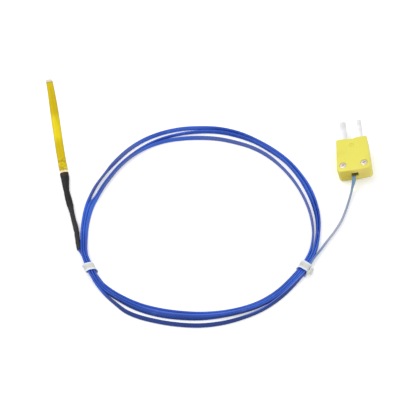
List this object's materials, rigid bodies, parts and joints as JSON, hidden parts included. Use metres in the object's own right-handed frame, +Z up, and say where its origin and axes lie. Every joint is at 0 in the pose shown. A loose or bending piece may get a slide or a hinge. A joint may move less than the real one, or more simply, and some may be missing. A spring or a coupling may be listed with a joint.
{
  "type": "thermocouple probe",
  "caption": "Flat film-strip temperature probe with a coiled flat cable, two wound ties and a miniature flat-pin plug.",
  "frame": {"origin": "on the strip's flat underside, under the measuring junction, 4.5 mm from the strip's tip", "axes": "+Y runs along the strip towards its tip, +Z is up, away from the face that is measured, and +X is to the right, towards the coil and the plug. The probe and its cable lie on the plane z = 0."},
  "size_m": [0.1476, 0.1553, 0.0117],
  "materials": {
    "amber_film": "glossy amber film",
    "pale_patch": "pale, slightly translucent",
    "bead_metal": "flattened weld",
    "positive_alloy": "bare alloy",
    "negative_alloy": "bare alloy",
    "positive_pin": "stamped blade, satin",
    "negative_pin": "stamped blade, satin",
    "plated_metal": "bright plating",
    "black_sleeve": "matt shrink tubing",
    "blue_jacket": "glossy blue jacket",
    "white_tie": "soft white plastic band",
    "yellow_body": "moulded yellow plastic"
  },
  "bodies": {
    "root": {"film_base": "amber_film", "film_top": "amber_film", "end_patch": "pale_patch", "junction_bead": "bead_metal", "ribbon_positive": "positive_alloy", "ribbon_negative": "negative_alloy", "splice_positive": "plated_metal", "splice_negative": "plated_metal", "core_positive": "positive_alloy", "core_negative": "negative_alloy", "shrink_sleeve": "black_sleeve", "cable_entry": "blue_jacket", "cable_coil": "blue_jacket", "cable_lead": "blue_jacket", "tie_left": "white_tie", "tie_right": "white_tie", "plug_base": "yellow_body", "plug_cover": "yellow_body", "pin_negative": "negative_pin", "pin_positive": "positive_pin", "cover_screw_left": "plated_metal", "cover_screw_right": "plated_metal", "cover_nut_left": "plated_metal", "cover_nut_right": "plated_metal", "terminal_screw_negative": "plated_metal", "terminal_screw_positive": "plated_metal", "conductor_negative": "negative_alloy", "conductor_positive": "positive_alloy"}
  },
  "joints": []
}
